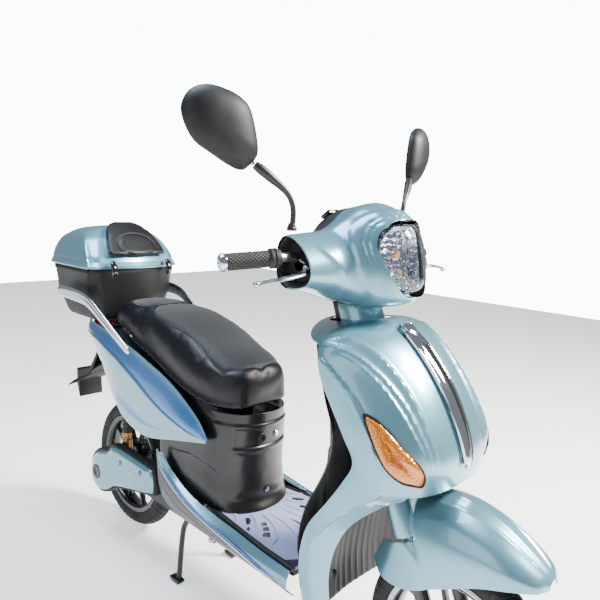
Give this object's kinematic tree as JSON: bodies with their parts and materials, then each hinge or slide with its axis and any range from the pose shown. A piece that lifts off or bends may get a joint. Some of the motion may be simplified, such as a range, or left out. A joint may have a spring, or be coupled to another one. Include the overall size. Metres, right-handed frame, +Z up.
{
  "type": "electric moped scooter",
  "caption": "Step-through electric moped scooter with leg shield, sprung fork and swing arm, two-person seat, lidded rear case, mirrors, centre stand and pedal-drive spindle.",
  "frame": {"origin": "on the ground below the middle of the bounding box, in the machine's centre plane", "axes": "+X forward towards the front wheel, +Y to the rider's left, +Z up"},
  "size_m": [1.792, 0.7958, 1.3245],
  "materials": {
    "paint": "pearl ice-blue gloss paint",
    "black_plastic": "fine-grained matt black plastic",
    "black_metal": "satin black paint",
    "black_alloy": "gloss black with machined rim edges",
    "chrome": "bright",
    "alloy": "polished",
    "bare_steel": "oiled",
    "tyre_rubber": "matt",
    "black_rubber": "matt moulded",
    "mat_rubber": "satin lilac grey",
    "vinyl": "grained upholstery vinyl",
    "amber_lens": "fluted amber lens",
    "red_lens": "red lens",
    "clear_lens": "clear lens",
    "lamp_reflector": "multi-facet metallised",
    "dark_window": "smoked window",
    "battery_case": "matt"
  },
  "bodies": {
    "chassis": {"head_tube": "black_metal", "floor_frame": "black_metal", "rear_frame": "black_metal", "battery_pack": "battery_case", "leg_shield": "paint", "inner_shield": "black_plastic", "wheel_liner": "black_plastic", "horn_cover": "chrome", "turn_signal_left": "amber_lens", "turn_signal_right": "amber_lens", "floor_tray": "black_plastic", "foot_mat": "mat_rubber", "sill_left": "paint", "sill_right": "paint", "skirt_left": "black_plastic", "skirt_right": "black_plastic", "battery_cover": "black_plastic", "side_panel_left": "paint", "side_panel_right": "paint", "tail_light": "red_lens", "rear_mudguard": "black_plastic", "grab_rail_left": "chrome", "grab_rail_right": "chrome", "case_base": "black_plastic", "shock_boot_left": "black_rubber", "shock_boot_right": "black_rubber"},
    "steering": {"fork_upper": "black_metal", "front_fender": "paint", "handlebar": "black_metal", "grip_left": "black_rubber", "front_cowl": "paint", "rear_cowl": "black_plastic", "headlight_lens": "clear_lens", "headlight_reflector": "lamp_reflector", "display": "dark_window", "neck_cover": "paint"},
    "fork": {"fork_lowers": "black_metal"},
    "front_wheel": {"front_wheel": "black_alloy", "front_tyre": "tyre_rubber"},
    "throttle": {"throttle_grip": "black_rubber"},
    "brake_lever_right": {"brake_lever_right": "alloy"},
    "brake_lever_left": {"brake_lever_left": "alloy"},
    "mirror_stem_right": {"mirror_stem_right": "black_metal"},
    "mirror_stem_left": {"mirror_stem_left": "black_metal"},
    "mirror_head_right": {"mirror_head_right": "black_plastic"},
    "mirror_head_left": {"mirror_head_left": "black_plastic"},
    "swingarm": {"swingarm": "black_metal", "swing_cover": "paint", "shock_foot_left": "alloy", "shock_foot_right": "alloy", "chain": "bare_steel"},
    "rear_wheel": {"rear_wheel": "black_alloy", "rear_tyre": "tyre_rubber"},
    "freewheel": {"freewheel": "bare_steel"},
    "crank": {"crank_spindle": "alloy"},
    "stand": {"centre_stand": "black_metal"},
    "seat": {"seat": "vinyl"},
    "case_lid": {"case_lid": "paint", "case_pad": "vinyl"},
    "case_lock": {"case_lock": "black_plastic"}
  },
  "joints": [
    {"name": "steer", "type": "hinge", "parent": "chassis", "child": "steering", "pos_m": [0.46646, 0, 0.66427], "axis": [-0.3907, 0, 0.9205], "range_deg": [-35, 35]},
    {"name": "fork_travel", "type": "slide", "parent": "steering", "child": "fork", "axis": [-0.3907, 0, 0.9205], "range_m": [0, 0.045], "stiffness_N_per_m": 6000, "springref_m": -0.02},
    {"name": "front_wheel_spin", "type": "hinge", "parent": "fork", "child": "front_wheel", "pos_m": [0.683, 0, 0.213], "axis": [0, 1, 0], "continuous": true},
    {"name": "throttle_turn", "type": "hinge", "parent": "steering", "child": "throttle", "pos_m": [0.351, -0.23, 1.005], "axis": [-0.3907, -0.917, -0.0797], "range_deg": [0, 65], "stiffness_Nm_per_rad": 0.3, "springref_deg": -17.19},
    {"name": "brake_right_pull", "type": "hinge", "parent": "steering", "child": "brake_lever_right", "pos_m": [0.387, -0.188, 0.9845], "axis": [-0.3697, 0, -0.9292], "range_deg": [0, 16], "stiffness_Nm_per_rad": 8, "springref_deg": -5.73},
    {"name": "brake_left_pull", "type": "hinge", "parent": "steering", "child": "brake_lever_left", "pos_m": [0.387, 0.188, 0.9845], "axis": [0.3697, 0, 0.9292], "range_deg": [0, 16], "stiffness_Nm_per_rad": 8, "springref_deg": -5.73},
    {"name": "mirror_right_swing", "type": "hinge", "parent": "steering", "child": "mirror_stem_right", "pos_m": [0.338, -0.187, 1.058], "axis": [0, 0, 1], "range_deg": [-25, 25]},
    {"name": "mirror_left_swing", "type": "hinge", "parent": "steering", "child": "mirror_stem_left", "pos_m": [0.338, 0.187, 1.058], "axis": [0, 0, 1], "range_deg": [-25, 25]},
    {"name": "mirror_right_aim", "type": "hinge", "parent": "mirror_stem_right", "child": "mirror_head_right", "pos_m": [0.30231, -0.26743, 1.1875], "axis": [0, 0, 1], "range_deg": [-12, 12]},
    {"name": "mirror_left_aim", "type": "hinge", "parent": "mirror_stem_left", "child": "mirror_head_left", "pos_m": [0.30231, 0.26743, 1.1875], "axis": [0, 0, 1], "range_deg": [-12, 12]},
    {"name": "swingarm_travel", "type": "hinge", "parent": "chassis", "child": "swingarm", "pos_m": [0.009, 0, 0.21], "axis": [0, 1, 0], "range_deg": [0, 2.5], "stiffness_Nm_per_rad": 3600, "springref_deg": -1.72, "deforming": ["shock_boot_right", "shock_boot_left"]},
    {"name": "rear_wheel_spin", "type": "hinge", "parent": "swingarm", "child": "rear_wheel", "pos_m": [-0.551, 0, 0.213], "axis": [0, 1, 0], "continuous": true},
    {"name": "freewheel_spin", "type": "hinge", "parent": "swingarm", "child": "freewheel", "pos_m": [-0.551, 0, 0.213], "axis": [0, 1, 0], "continuous": true},
    {"name": "crank_spin", "type": "hinge", "parent": "chassis", "child": "crank", "pos_m": [0.009, 0, 0.21], "axis": [0, 1, 0], "continuous": true},
    {"name": "stand_fold", "type": "hinge", "parent": "chassis", "child": "stand", "pos_m": [-0.103, 0, 0.279], "axis": [0, 1, 0], "range_deg": [0, 70]},
    {"name": "seat_open", "type": "hinge", "parent": "chassis", "child": "seat", "pos_m": [0.097, 0, 0.574], "axis": [0, 1, 0], "range_deg": [0, 70]},
    {"name": "case_lid_open", "type": "hinge", "parent": "chassis", "child": "case_lid", "pos_m": [-0.527, 0, 0.872], "axis": [0, 1, 0], "range_deg": [0, 75]},
    {"name": "case_lock_press", "type": "slide", "parent": "case_lid", "child": "case_lock", "axis": [1, 0, 0], "range_m": [0, 0.004], "stiffness_N_per_m": 500, "springref_m": -0.002}
  ],
  "couplings": [
    {"joint": "freewheel_spin", "follows": "crank_spin", "ratio": 1.2353}
  ]
}
